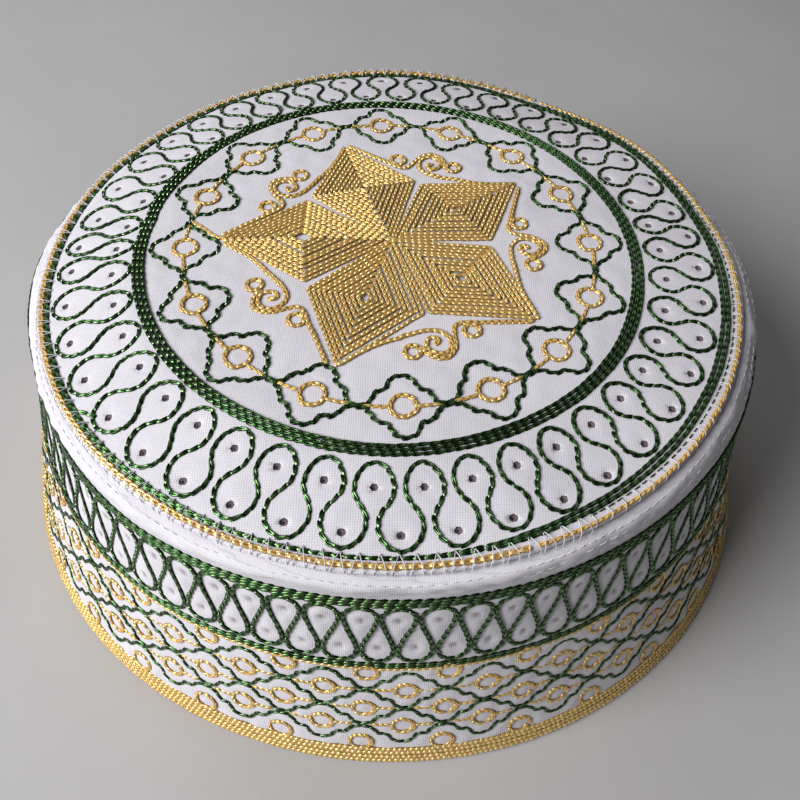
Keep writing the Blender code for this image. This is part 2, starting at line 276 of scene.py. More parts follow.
# White stitches over the rim. Each point of a leg has its azimuth from the stitch's middle in
# shares of the spread, its reach out from the gold row and its lift over the crown
WHIP_PITCH, WHIP_THREAD = 3.3, 0.10
WHIP_LEG = (
    (0.0, -2.3, 0.05), (0.30, -1.4, 0.70), (0.72, -0.2, 1.1),
    (1.0, 0.8, 0.70), (1.12, 1.1, 0.0), (1.15, 1.3, -1.2),
)
# On the right, within this azimuth, a stitch shows one short leg
SHORT_WHIP_SIDE, SHORT_WHIP_SCALE = 62.0, 0.45
SHORT_WHIP_LEG = (
    (0.0, -1.7, 0.0), (0.30, -1.1, 0.35), (0.72, -0.2, 0.85),
    (1.0, 0.45, 0.45), (1.12, 0.6, -0.1), (1.15, 0.62, -0.8),
)
RUNNING_ROWS = (
    # share of the way down the shoulder, pitch, waviness, azimuths of its start and end
    (0.10, 2.2, 0.01, -180.0, 180.0),
    (0.36, 2.6, 0.06, -75.0, 40.0),
    (0.56, 2.9, 0.07, -70.0, 20.0),
)
RUNNING_THREAD, SEAM_THREAD = 0.09, 0.14


def rng(seed):
    return np.random.default_rng(seed)


def column(rows, number):
    return np.array([row[number] for row in rows], dtype=float)


def read(rows, place, number, ease=False):
    """Reading of a table with rising first column, in a straight or an eased line."""
    keys, values = column(rows, 0), column(rows, number)
    if not ease:
        return np.interp(place, keys, values)
    at = np.clip(np.searchsorted(keys, place, side="right") - 1, 0, len(keys) - 2)
    share = (place - keys[at]) / (keys[at + 1] - keys[at])
    share = share * share * (3 - 2 * share)
    return values[at] + (values[at + 1] - values[at]) * share


def half_turn(azimuth):
    """The azimuth between -180 and 180 degrees."""
    return (np.asarray(azimuth) + 180.0) % 360.0 - 180.0


def droop(azimuth):
    """Slope of the crown's outer zone in radians."""
    return np.radians(read(DROOP, np.asarray(azimuth) % 360.0, 1, ease=True))


def crown_section(azimuth, along, lift):
    """Radius and height of the crown's cloth, `along` from its middle, `lift` above it."""
    full = droop(azimuth)
    bend_radius = BEND_LENGTH / full
    bent = np.clip(along - FLAT_RADIUS, 0.0, BEND_LENGTH)
    straight = np.maximum(along - FLAT_RADIUS - BEND_LENGTH, 0.0)
    flat = np.minimum(along, FLAT_RADIUS)
    turn = bent / bend_radius
    radius = flat + bend_radius * np.sin(turn) + straight * np.cos(full)
    fall = bend_radius * (1 - np.cos(turn)) + straight * np.sin(full)
    fall = fall + DOME_DROP * (flat / FLAT_RADIUS) ** 2
    return radius + lift * np.sin(turn), HEIGHT - fall + lift * np.cos(turn)


def on_crown(place, lift=0.0):
    """Points on the crown: place is x and y in its flat plan, from its middle."""
    azimuth = np.arctan2(place[:, 1], place[:, 0])
    along = np.hypot(place[:, 0], place[:, 1])
    radius, height = crown_section(np.degrees(azimuth), along, lift)
    x = CROWN_SHIFT + radius * np.cos(azimuth)
    return np.stack((x, radius * np.sin(azimuth), height + 0.0 * x), axis=1)


def wall_radius(height):
    """Mean radius of the wall: the parabola through the hem, middle and border."""
    knots = ((0.0, HEM_RADIUS), (MIDDLE_HEIGHT, MIDDLE_RADIUS), (BORDER_HEIGHT, BORDER_RADIUS))
    total = 0.0
    for i, (zi, radius) in enumerate(knots):
        term = radius
        for j, (zj, _) in enumerate(knots):
            if j != i:
                term = term * (height - zj) / (zi - zj)
        total = total + term
    return total


def wall_section(azimuth, height, lift):
    """Radius and height of the wall's outer face, `lift` out from it."""
    step = 0.5
    slope = (wall_radius(height + step) - wall_radius(height - step)) / (2 * step)
    length = np.hypot(1.0, slope)
    oval = HEM_OVAL + (CROWN_OVAL - HEM_OVAL) * height / HEIGHT
    radius = wall_radius(height) * (1 + oval * np.cos(2 * np.radians(azimuth)))
    share = np.clip((height - RISE_FROM) / RISE_OVER, 0.0, 1.0)
    rise = read(WALL_SIDES, half_turn(azimuth), 1) * share
    side = np.cos(np.radians(azimuth)) ** 2
    wide = read(WALL_SIDES, half_turn(azimuth), 2) * share
    wide = wide + HEM_WIDENING * side * np.clip(1 - height / RISE_FROM, 0.0, 1.0)
    return radius + wide + lift / length, height + rise - lift * slope / length


def on_band(azimuth, radius, height):
    """The band's middle moves from the hem's middle to the crown's, with height."""
    angle = np.radians(azimuth)
    x = CROWN_SHIFT * height / HEIGHT + radius * np.cos(angle)
    return np.stack((x, radius * np.sin(angle), height + 0.0 * x), axis=-1)


def on_wall(place, lift=0.0):
    """Points on the wall: place is azimuth and height."""
    radius, height = wall_section(place[:, 0], place[:, 1], lift)
    return on_band(place[:, 0], radius, height)


def shoulder_section(azimuth, share):
    """Radius and height on the shoulder, from the seam (0) to the top of the wall (1)."""
    sunk = -(CLOTH + GAP)
    slope = droop(azimuth)
    r0, z0 = crown_section(azimuth, SEAM_RADIUS, sunk)
    r3, z3 = wall_section(azimuth, WALL_TOP, 0.0)
    r1, z1 = r0 + SHOULDER_REACH * np.cos(slope), z0 - SHOULDER_REACH * np.sin(slope)
    r2, z2 = wall_section(azimuth, WALL_TOP + read(WALL_SIDES, half_turn(azimuth), 3), 0.0)
    left = 1 - share
    a, b, c, d = left ** 3, 3 * share * left ** 2, 3 * share ** 2 * left, share ** 3
    return a * r0 + b * r1 + c * r2 + d * r3, a * z0 + b * z1 + c * z2 + d * z3


def on_shoulder(place, lift=0.0):
    """Points on the shoulder: place is azimuth and share of the way down."""
    azimuth, share = place[:, 0], place[:, 1]
    step = 0.02
    r0, z0 = shoulder_section(azimuth, share - step)
    r1, z1 = shoulder_section(azimuth, share + step)
    radius, height = shoulder_section(azimuth, share)
    length = np.hypot(r1 - r0, z1 - z0)
    radius = radius - lift * (z1 - z0) / length
    height = height + lift * (r1 - r0) / length
    return on_band(azimuth, radius, height)


def polar(azimuth, radius):
    """Points of the crown's flat plan from azimuths in degrees and radii."""
    angle = np.radians(azimuth)
    return np.stack((radius * np.cos(angle), radius * np.sin(angle)), axis=-1)


def level(azimuth, value):
    """Places at all the azimuths, at one height or one share of the shoulder."""
    return np.stack((azimuth, np.full(len(azimuth), value)), axis=1)


def smooth_line(points, closed=False, steps=8):
    """A Catmull-Rom curve through points."""
    points = np.asarray(points, dtype=float)
    if closed:
        padded = np.concatenate((points[-1:], points, points[:2]))
    else:
        padded = np.concatenate((2 * points[:1] - points[1:2], points, 2 * points[-1:] - points[-2:-1]))
    t = (np.arange(steps) / steps)[:, None]
    made = []
    for a, b, c, d in zip(padded, padded[1:], padded[2:], padded[3:]):
        made.append(0.5 * (2 * b + (c - a) * t + (2 * a - 5 * b + 4 * c - d) * t ** 2
                           + (3 * b - a - 3 * c + d) * t ** 3))
    line = np.concatenate(made)
    return line if closed else np.concatenate((line, points[-1:]))


def circle(x, y, radius, count=24, start=0.0):
    angle = start + 2 * np.pi * np.arange(count) / count
    return np.stack((x + radius * np.cos(angle), y + radius * np.sin(angle)), axis=1)


def fine(line, closed, step=0.3):
    """The line with its points set close together, at even steps."""
    if closed:
        line = np.concatenate((line, line[:1]))
    way = np.concatenate(([0.0], np.cumsum(np.linalg.norm(np.diff(line, axis=0), axis=1))))
    count = max(int(way[-1] / step), 4)
    at = np.linspace(0.0, way[-1], count + 1)
    return np.stack([np.interp(at, way, line[:, k]) for k in range(line.shape[1])], axis=1)


class Seam:
    """A line on a surface, with its points, normals and the way along it."""

    def __init__(self, surface, line, closed=False, lift=0.0):
        self.closed = closed
        self.points = surface(line, lift)
        self.normals = surface(line, lift + 1.0) - self.points
        if closed:
            self.points = np.concatenate((self.points, self.points[:1]))
            self.normals = np.concatenate((self.normals, self.normals[:1]))
        self.normals /= np.linalg.norm(self.normals, axis=1)[:, None]
        steps = np.linalg.norm(np.diff(self.points, axis=0), axis=1)
        self.way = np.concatenate(([0.0], np.cumsum(steps)))
        self.length = self.way[-1]
        if closed:
            ahead = np.concatenate((self.points[1:], self.points[1:2]))
            behind = np.concatenate((self.points[-2:-1], self.points[:-1]))
        else:
            ahead = np.concatenate((self.points[1:], self.points[-1:]))
            behind = np.concatenate((self.points[:1], self.points[:-1]))
        tangents = ahead - behind
        self.tangents = tangents / np.linalg.norm(tangents, axis=1)[:, None]

    def read(self, values, at):
        return np.stack([np.interp(at, self.way, values[:, k]) for k in range(3)], axis=-1)

    def frames(self, at):
        """Points, tangents, side vectors and normals at distances along the line."""
        inside = at % self.length if self.closed else np.clip(at, 0.0, self.length)
        points = self.read(self.points, inside)
        tangents = self.read(self.tangents, inside)
        normals = self.read(self.normals, inside)
        points = points + tangents * (0.0 if self.closed else (at - inside)[..., None])
        sides = np.cross(normals, tangents)
        sides /= np.linalg.norm(sides, axis=-1)[..., None]
        return points, tangents, sides, normals


# Share of the thread's radius by which the middle of the loop lies above the cloth,
# from the loop's tail to its head
LOOP_LIFT = (0.6, 1.22, 1.0, 0.6, 0.45, 0.4)
# Where a loop starts and how long it is, in shares of the pitch: it overlaps the one before
LOOP_START, LOOP_LENGTH = -0.10, 1.16
# Half-width of a loop: an even part, a part that grows towards the head, their greatest sum
LOOP_EVEN, LOOP_FLARE, LOOP_WIDEST = 0.55, 0.45, 0.67
# How unevenly loops are sewn: place in shares of the pitch, size and height
PLACE_SPREAD, SIZE_SPREAD, HEIGHT_SPREAD = 0.035, 0.05, 0.06
SECTION_TURNS = np.radians((-112.0, -37.0, 37.0, 112.0))


def loop_template(pitch, half_width, thread, steps):
    """One chain stitch: rings of points round a slender loop, narrow tail to wide head."""
    turns = 2 * np.pi * np.arange(steps) / steps
    along = pitch * (LOOP_START + LOOP_LENGTH * (1 - np.cos(turns)) / 2)
    side = half_width * np.sin(turns) * (LOOP_EVEN - LOOP_FLARE * np.cos(turns)) / LOOP_WIDEST
    half = steps // 2
    from_tail = np.minimum(np.arange(steps), steps - np.arange(steps)) / half
    lift = thread * np.interp(from_tail, np.linspace(0.0, 1.0, len(LOOP_LIFT)), LOOP_LIFT)
    run = np.gradient(np.concatenate((along[-1:], along, along[:1])))[1:-1]
    across = np.gradient(np.concatenate((side[-1:], side, side[:1])))[1:-1]
    length = np.hypot(run, across)
    out_along, out_side = across / length, -run / length
    rings = []
    for k in range(steps):
        for turn in SECTION_TURNS:
            reach = thread * np.sin(turn)
            rings.append((
                along[k] + reach * out_along[k],
                side[k] + reach * out_side[k],
                lift[k] + thread * np.cos(turn),
                abs(k - half) / half,
                turn,
            ))
    return np.array(rings)


def loop_faces(steps):
    """The faces between the rings of one loop, each with four of its points' numbers."""
    wide = len(SECTION_TURNS)
    faces = []
    for k in range(steps):
        after = (k + 1) % steps
        for i in range(wide - 1):
            faces.append((k * wide + i, k * wide + i + 1, after * wide + i + 1, after * wide + i))
    return np.array(faces)


def chain(seam, seed, pitch, width, thread, wander=0.03, slant=SLANT, steps=LEG_STEPS):
    """Vertices, faces and strand data of a row of chain stitches along a seam."""
    count = max(int(round(seam.length / pitch)), 1)
    step = seam.length / count
    template = loop_template(step, width / 2 - thread, thread, steps)
    source = rng(seed)
    starts = step * np.arange(count)[:, None] + source.normal(0, PLACE_SPREAD * step, (count, 1))
    size = 1 + source.normal(0, SIZE_SPREAD, (count, 1))
    shift = source.normal(0, wander, (count, 1))
    tone = source.uniform(0, 1, (count, 1))
    points, _, sides, normals = seam.frames(starts + template[None, :, 0])
    across = template[None, :, 1] * size + shift + slant * (template[None, :, 0] - step / 2)
    up = template[None, :, 2] * (1 + source.normal(0, HEIGHT_SPREAD, (count, 1)))
    vertices = points + sides * across[..., None] + normals * up[..., None]
    strand = np.stack(np.broadcast_arrays(
        template[None, :, 3], template[None, :, 4] + 0.0 * tone, tone), axis=-1)
    faces = loop_faces(steps)[None] + (len(template) * np.arange(count))[:, None, None]
    return vertices.reshape(-1, 3), faces.reshape(-1, 4), strand.reshape(-1, 3)


def tube(points, radius, tone, sides=5):
    """Vertices, faces and strand data of a round thread along points."""
    points = np.asarray(points, dtype=float)
    tangents = np.gradient(points, axis=0)
    tangents /= np.linalg.norm(tangents, axis=1)[:, None]
    steep = abs(tangents[:, 2]).max() >= 0.9
    across = np.cross(tangents, (0.6, 0.8, 0.1) if steep else (0.0, 0.0, 1.0))
    across /= np.linalg.norm(across, axis=1)[:, None]
    up = np.cross(across, tangents)
    way = np.concatenate(([0.0], np.cumsum(np.linalg.norm(np.diff(points, axis=0), axis=1))))
    count = len(points)
    vertices, strand = [], []
    for i in range(sides):
        turn = 2 * np.pi * i / sides
        vertices.append(points + radius * (np.cos(turn) * across + np.sin(turn) * up))
        strand.append(np.stack((way / 2.0, np.full(count, turn), np.full(count, tone)), axis=1))
    vertices = np.stack(vertices, axis=1).reshape(-1, 3)
    strand = np.stack(strand, axis=1).reshape(-1, 3)
    faces = []
    for k in range(count - 1):
        for i in range(sides):
            j = (i + 1) % sides
            faces.append((k * sides + i, k * sides + j, (k + 1) * sides + j, (k + 1) * sides + i))
    return vertices, np.array(faces), strand


def make_mesh(name, vertices, faces, material):
    """An object of vertices in millimetres and faces of any size."""
    mesh = bpy.data.meshes.new(name)
    mesh.from_pydata((np.asarray(vertices) * MM).tolist(), [], [tuple(face) for face in faces])
    mesh.materials.append(material)
    mesh.shade_smooth()
    mesh.update()
    piece = bpy.data.objects.new(name, mesh)
    bpy.context.collection.objects.link(piece)
    return piece


def sew(name, stitches, material):
    """Join rows of stitches into one piece that rides on the cap."""
    vertices, faces, strands = [], [], []
    start = 0
    for part_vertices, part_faces, part_strand in stitches:
        vertices.append(part_vertices)
        faces.append(part_faces + start)
        strands.append(part_strand)
        start += len(part_vertices)
    piece = make_mesh(name, np.concatenate(vertices), np.concatenate(faces).tolist(), material)
    attribute = piece.data.attributes.new("strand", "FLOAT_VECTOR", "POINT")
    attribute.data.foreach_set("vector", np.concatenate(strands).astype(np.float32).ravel())
    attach(piece, "root")
    return piece


# Materials

WEAVE_PITCH = 0.00046
WHITE = (1.0, 1.0, 1.0)
# Painted shade: the darker grey-mauve tint laid into the wall's dimples
DIMPLE_SHADE_COLOUR = (0.26, 0.21, 0.23)


def new_material(name):
    """A material, its node tree, its shader and the place on the mesh in metres."""
    material = bpy.data.materials.new(name)
    material.use_nodes = True
    tree = material.node_tree
    where = tree.nodes.new("ShaderNodeTexCoord").outputs["Object"]
    return material, tree, tree.nodes["Principled BSDF"], where


def set_inputs(tree, node, inputs):
    """Give each named input of a node a link, a colour or a number."""
    for name, value in inputs.items():
        socket = node.inputs[name]
        if isinstance(value, bpy.types.NodeSocket):
            tree.links.new(value, socket)
        elif isinstance(value, tuple):
            socket.default_value = (*value, 1.0)
        else:
            socket.default_value = value


def add(tree, kind, output, inputs, **values):
    """A new node with its settings and inputs, and one of its outputs."""
    node = tree.nodes.new(kind)
    for key, value in values.items():
        setattr(node, key, value)
    set_inputs(tree, node, inputs)
    return node.outputs[output]


def compute(tree, operation, first, second=None, clamp=False):
    """A math node on sockets or numbers, and its output."""
    inputs = {0: first} if second is None else {0: first, 1: second}
    return add(tree, "ShaderNodeMath", 0, inputs, operation=operation, use_clamp=clamp)


def weighted(tree, *terms, plus=None):
    """The sum of sockets times their weights, and of `plus` if it is given."""
    total = plus
    for socket, weight in terms:
        term = compute(tree, "MULTIPLY", socket, weight)
        total = term if total is None else compute(tree, "ADD", total, term)
    return total


def noise(tree, vector, scale, detail=2.0, roughness=0.5):
    inputs = {"Vector": vector, "Scale": scale, "Detail": detail, "Roughness": roughness}
    return add(tree, "ShaderNodeTexNoise", "Fac", inputs)


def ramp(tree, factor, stops):
    """A colour ramp: stops are (place, colour)."""
    made = add(tree, "ShaderNodeValToRGB", "Color", {"Fac": factor})
    elements = made.node.color_ramp.elements
    while len(elements) < len(stops):
        elements.new(0.5)
    for element, (place, colour) in zip(elements, stops):
        element.position = place
        element.color = (*colour, 1.0)
    return made


def mix_colours(tree, factor, first, second, blend_type="MIX"):
    inputs = {0: factor, 6: first, 7: second}
    return add(tree, "ShaderNodeMix", 2, inputs, data_type="RGBA", blend_type=blend_type)


def split(tree, vector):
    """The three parts of a vector."""
    return add(tree, "ShaderNodeSeparateXYZ", 0, {0: vector}).node.outputs


def mesh_values(tree, name):
    """The three parts of a vector that the mesh keeps at each of its points."""
    return split(tree, add(tree, "ShaderNodeAttribute", "Vector", {}, attribute_name=name))


def bump(tree, height, strength, distance, shader):
    inputs = {"Height": height, "Strength": strength, "Distance": distance}
    set_inputs(tree, shader, {"Normal": add(tree, "ShaderNodeBump", "Normal", inputs)})


def cotton_material(name, wrapped):
    """Plain-weave white cotton. The weave runs in the crown's plan, or round the band."""
    material, tree, shader, where = new_material(name)
    x, y, z = split(tree, where)
    directions = (x, y)
    if wrapped:
        directions = (compute(tree, "MULTIPLY", compute(tree, "ARCTAN2", y, x), 0.085), z)
    wander = compute(tree, "MULTIPLY", noise(tree, where, 450.0), 0.00035)
    waves = []
    for place in directions:
        turns = compute(tree, "MULTIPLY", compute(tree, "ADD", place, wander), math.pi / WEAVE_PITCH)
        waves.append(compute(tree, "SINE", turns))
    crossing = compute(tree, "ABSOLUTE", compute(tree, "MULTIPLY", *waves))
    weave = compute(tree, "POWER", crossing, 0.6)
    mottle = noise(tree, where, 60.0, 4.0, 0.6)
    slub = noise(tree, where, 900.0, 3.0, 0.7)
    base = ramp(tree, weighted(tree, (mottle, 0.55), (slub, 0.45)), (
        (0.30, (0.690, 0.680, 0.730)),
        (0.50, (0.755, 0.745, 0.795)),
        (0.70, (0.800, 0.790, 0.835)),
    ))
    if wrapped:
        # Painted shade: the dimples take the darker tint, patchy with the slub noise
        uneven = weighted(tree, (slub, 0.9), plus=0.45)
        dimple_shade_share = compute(tree, "MULTIPLY", mesh_values(tree, "dimple_shade")[0], uneven, clamp=True)
        base = mix_colours(tree, dimple_shade_share, base, DIMPLE_SHADE_COLOUR)
    gaps = ramp(tree, weave, ((0.0, (0.74, 0.74, 0.76)), (0.5, WHITE)))
    set_inputs(tree, shader, {
        "Base Color": mix_colours(tree, 1.0, base, gaps, "MULTIPLY"),
        "Roughness": weighted(tree, (slub, 0.2), plus=0.72),
        "Specular IOR Level": 0.25,
        "Sheen Weight": 0.15,
        "Sheen Roughness": 0.5,
    })
    bump(tree, weighted(tree, (weave, 0.6), (slub, 0.6)), 0.45, 0.00012, shader)
    return material


def thread_material(name, body, tail, metallic, roughness, inner):
    """Glossy embroidery thread, with a painted highlight on each loop's tail and painted shade at its
    edges.

    The mesh keeps, at each point, the share along the stitch from head to tail, the turn round
    the thread and the tone of the stitch.
    """
    material, tree, shader, where = new_material(name)
    along, turn, tone = mesh_values(tree, "strand")
    filaments = compute(tree, "SINE", weighted(tree, (along, 3.0), (turn, 9.0)))
    patches = noise(tree, where, 30.0, 3.0, 0.6)
    specks = noise(tree, where, 2200.0, 2.0, 0.6)
    shade = weighted(tree, (patches, 0.4), (tone, 0.3), (specks, 0.3))
    level = ramp(tree, shade, (
        (0.30, (0.80, 0.77, 0.74)),
        (0.50, (0.93, 0.93, 0.93)),
        (0.70, WHITE),
    ))
    # Painted highlight: the tail of each loop, rising over the loop before, gets the lighter colour
    base = ramp(tree, along, ((0.35, body), (0.80, tail)))
    colour = mix_colours(tree, 1.0, base, level, "MULTIPLY")
    # Painted shade along the thread's lower edges, down to inner on one side and 0.7 on the other
    painted_edge_shade = ramp(tree, weighted(tree, (turn, 0.25), plus=0.5), (
        (0.10, (inner, inner, inner)),
        (0.40, WHITE),
        (0.75, WHITE),
        (0.98, (0.7, 0.7, 0.7)),
    ))
    set_inputs(tree, shader, {
        "Base Color": mix_colours(tree, 1.0, colour, painted_edge_shade, "MULTIPLY"),
        "Roughness": weighted(tree, (specks, 0.12), plus=roughness - 0.06),
        "Metallic": metallic,
    })
    bump(tree, filaments, 0.25, 0.00002, shader)
    return material


def white_thread_material(name):
    """Plain cotton sewing thread with its plies."""
    material, tree, shader, where = new_material(name)
    along, turn, tone = mesh_values(tree, "strand")
    twist = weighted(tree, (along, 18.0), plus=turn)
    plies = compute(tree, "ABSOLUTE", compute(tree, "SINE", twist))
    fuzz = noise(tree, where, 1500.0, 3.0, 0.7)
    shade = weighted(tree, (fuzz, 0.6), (tone, 0.4))
    set_inputs(tree, shader, {
        "Base Color": ramp(tree, shade, ((0.2, (0.62, 0.61, 0.68)), (0.8, (0.88, 0.87, 0.92)))),
        "Roughness": weighted(tree, (fuzz, 0.2), plus=0.5),
    })
    bump(tree, plies, 0.4, 0.00005, shader)
    return material


def eyelet_shade_material(name):
    """Painted shade inside the eyelets: dark grey-brown on the cloth edge rolled in across each hole.
    """
    material, tree, shader, where = new_material(name)
    fuzz = noise(tree, where, 1600.0, 3.0, 0.7)
    set_inputs(tree, shader, {
        "Base Color": ramp(tree, fuzz, ((0.3, (0.110, 0.085, 0.092)), (0.7, (0.175, 0.140, 0.148)))),
        "Roughness": 0.95,
        "Specular IOR Level": 0.1,
    })
    bump(tree, fuzz, 0.6, 0.0002, shader)
    return material


def floor_material(name):
    """Plain pale floor."""
    material, tree, shader, where = new_material(name)
    grain = noise(tree, where, 12.0, 5.0, 0.6)
    set_inputs(tree, shader, {
        "Base Color": ramp(tree, grain, ((0.3, (0.46, 0.458, 0.457)), (0.7, (0.50, 0.498, 0.497)))),
        "Roughness": 0.8,
        "Specular IOR Level": 0.2,
    })
    bump(tree, noise(tree, where, 900.0, 3.0, 0.6), 0.15, 0.0002, shader)
    return material


# Lines of the embroidery

def crown_lobe_place(number):
    """Azimuth of a place on the crown's winding line, for a running lobe number."""
    whole = number % LOBES
    return np.interp(whole, column(LOBE_KEYS, 0), column(LOBE_KEYS, 1)) - 360.0 * (number // LOBES)


def crown_winding():
    """The crown's winding line, with its lobes a little wider than their necks."""
    u = np.arange(0, LOBES, 1 / 64)
    azimuth = crown_lobe_place(u + LOBE_SWING * np.sin(4 * np.pi * u))
    at = half_turn(azimuth)
    top, end = read(LOBE_REACH, at, 1, ease=True), read(LOBE_REACH, at, 2, ease=True)
    wave = (1 - LOBE_BLUNT) * np.cos(2 * np.pi * u) + LOBE_BLUNT * np.cos(6 * np.pi * u)
    reach = (top - end) / 2
    wobble = LOBE_WOBBLE * np.sin(1.7 * u + 2.0 * np.sin(0.9 * u))
    return polar(azimuth, (top + end) / 2 + reach * wave + wobble * (0.5 + 0.5 * wave))


def eyelet_places():
    """Plan places of the crown's eyelets."""
    number = np.arange(LOBES)
    outer = polar(crown_lobe_place(number), read(LOBE_KEYS, number, 2))
    middle = number + 0.5
    inner = polar(crown_lobe_place(middle), read(LOBE_KEYS, middle, 3))
    return np.concatenate((outer, inner))


def edge_part(number, start, end):
    """A part of a row along the crown's edge, between two azimuths."""
    azimuth = np.arange(start, end, 0.25)
    return polar(azimuth, read(EDGE_ROWS, half_turn(azimuth), number, ease=True))


def ring_row(radius):
    """A row of the ring round the star, a little uneven."""
    azimuth = np.arange(-180, 180, 0.5)
    place, depth, width = RING_DENT
    dent = depth * np.exp(-(half_turn(azimuth - place) / width) ** 2)
    return polar(azimuth, radius - dent + 0.08 * np.sin(np.radians(azimuth * 7)))


def star_sides(point):
    """The sides of one lozenge's rows, from the outermost inwards, each as a line."""
    tip, tip_radius, low, low_radius, high, high_radius, x, y = point
    corners = np.array((
        HEART,
        polar(low, low_radius),
        polar(tip, tip_radius),
        polar(high, high_radius),
    ))
    sides = list(zip(corners, np.roll(corners, -1, axis=0)))
    middle = np.array((x, y))
    depths = [abs(np.cross(b - a, middle - a)) / np.linalg.norm(b - a) for a, b in sides]
    reach = float(np.mean(depths))
    source = rng(int(tip) + 700)
    lines = []
    for row in range(STAR_ROWS):
        inset = STAR_INSET + row * STAR_ROW_WIDTH
        shares = 1 - (inset + source.normal(0, STAR_WANDER, 4)) / reach
        for side, share in zip(sides, shares):
            line = middle + (np.array(side) - middle) * share
            if (line[1] - line[0]) @ ROWS_RUN < 0:
                line = line[::-1]
            lines.append((row, line))
    return lines


def flower_lines():
    """Outer and inner outline of the whole ring of flowers, as two closed lines."""
    made = []
    for outline in (FLOWER_OUTER, FLOWER_INNER):
        places = []
        for k in range(FLOWERS):
            middle = FLOWER_START - 360.0 * k / FLOWERS
            for x, radius in outline:
                places.append((middle - math.degrees(x / FLOWER_RADIUS), radius))
        places = np.array(places)
        made.append(smooth_line(polar(places[:, 0], places[:, 1]), closed=True, steps=4))
    return made


def flower_details():
    """The ring in each flower and the bars at its sides."""
    rings, bars = [], []
    for k in range(FLOWERS):
        middle = FLOWER_START - 360.0 * k / FLOWERS
        x, y = polar(middle, FLOWER_MIDDLE)
        rings.append(circle(x, y, FLOWER_RING_RADIUS, start=k))
        for way in (-1, 1):
            span = np.linspace(*FLOWER_BAR, 5) * way
            azimuth = middle - np.degrees(span / FLOWER_RADIUS)
            bars.append(polar(azimuth, np.full(5, FLOWER_BAR_RADIUS)))
    return rings, bars


def turn_scroll(points, middle):
    """A scroll's points set at the azimuth of its middle in the crown's plan."""
    angle = math.radians(middle - 90.0)
    points = np.asarray(points, dtype=float)
    cos, sin = math.cos(angle), math.sin(angle)
    return points @ np.array(((cos, sin), (-sin, cos)))


def even_azimuth(azimuth):
    """Evens out the azimuth for the oval, so that equal steps are equal ways round it."""
    return azimuth + math.degrees(HEM_OVAL / 2) * np.sin(2 * np.radians(azimuth))


def uneven_azimuth(even):
    """Takes the azimuth back from the evened-out one."""
    azimuth = even
    for _ in range(3):
        azimuth = even - math.degrees(HEM_OVAL / 2) * np.sin(2 * np.radians(azimuth))
    return azimuth


def place_by_keys(keys, number):
    """Azimuth for a running number: measured keys, with even steps round the rest."""
    count = keys[-1][0]
    numbers, azimuths = column(keys, 0), even_azimuth(column(keys, 1))
    whole = number % count
    return uneven_azimuth(np.interp(whole, numbers, azimuths) + 360.0 * (number // count))


def wall_winding():
    """The wall's winding line, as azimuth and height."""
    u = np.arange(0, WALL_LOBES, 1 / 64)
    wave = np.cos(2 * np.pi * u)
    number = u + WALL_LOBE_SWING * np.sin(4 * np.pi * u) - WALL_LOBE_LEAN * (1 - wave) / 2
    wobble = WALL_LOBE_WOBBLE * np.sin(1.3 * u + 2.0 * np.sin(0.7 * u))
    height = WALL_LOBE_MIDDLE + WALL_LOBE_REACH * wave + wobble * (0.5 - 0.5 * wave)
    return np.stack((place_by_keys(WALL_LOBE_KEYS, number), height), axis=1)


def wall_dimples():
    """Azimuth and height of the dimples inside the wall's lobes, as an upper and a lower row."""
    number = np.arange(WALL_LOBES)
    rows = []
    for shift, height in zip((0.0, 0.5 - 0.75 * WALL_LOBE_LEAN), DIMPLE_ROWS):
        rows.append(level(place_by_keys(WALL_LOBE_KEYS, number + shift), height))
    return rows


def column_place(number, x, height):
    """Azimuth of a place beside a lattice column; the columns lean with height."""
    lean = COLUMN_LEAN * (LATTICE_TOP - height) / LATTICE_FALL
    return place_by_keys(COLUMN_KEYS, number + (x + lean) / COLUMN_PITCH)


def lattice_line(crest, trough, shift):
    """A waved line once round the wall, as azimuth and height."""
    places = []
    middle, reach = (crest + trough) / 2, (crest - trough) / 2
    for k in range(COLUMNS):
        for x, share in LATTICE_WAVE[:-1]:
            places.append((k + shift, x, middle + reach * share))
        for x, share in LATTICE_WAVE[:0:-1]:
            places.append((k + shift, COLUMN_PITCH - x, middle + reach * share))
    places = np.array(places)
    azimuth = column_place(places[:, 0], places[:, 1], places[:, 2])
    azimuth = np.degrees(np.unwrap(np.radians(azimuth)))
    return smooth_line(np.stack((azimuth, places[:, 2]), axis=1), closed=False, steps=4)


def lattice_details():
    """The lattice's rings and the bars at their sides."""
    rings, bars = [], []
    for height, shift, barred in LATTICE_RINGS:
        for k in range(COLUMNS):
            spots = circle(0.0, height, LATTICE_RING_RADIUS, count=20, start=k)
            spots[:, 0] = column_place(k + shift, spots[:, 0], height)
            rings.append(spots)
            if not barred:
                continue
            for way in (-1, 1):
                span = np.linspace(*LATTICE_BAR, 5) * way
                bars.append(level(column_place(k + shift, span, height), height + 0.2))
    return rings, bars


def wall_row(height):
    """A level row once round the wall."""
    return level(np.arange(-180, 180, 0.5), height)


# The two cloth pieces

CROWN_SPACING, CROWN_EDGE_POINTS = 1.1, 440
BAND_COLUMNS = 760
# Edge of the crown's cloth rolled under, at the rim and inside an eyelet: out and down
RIM_ROLL = ((0.35, -0.30), (0.50, -0.80), (0.30, -1.30))
# Inside an eyelet the roll reaches nearly across the hole and takes the painted shade colour
EYELET_ROLL = ((0.10, -0.30), (0.34, -0.42), (0.70, -0.50))


def sink_tree(points):
    """A search tree of the places where stitches hold the cloth down."""
    tree = KDTree(len(points))
    for i, point in enumerate(points):
        tree.insert(Vector(point), i)
    tree.balance()
    return tree


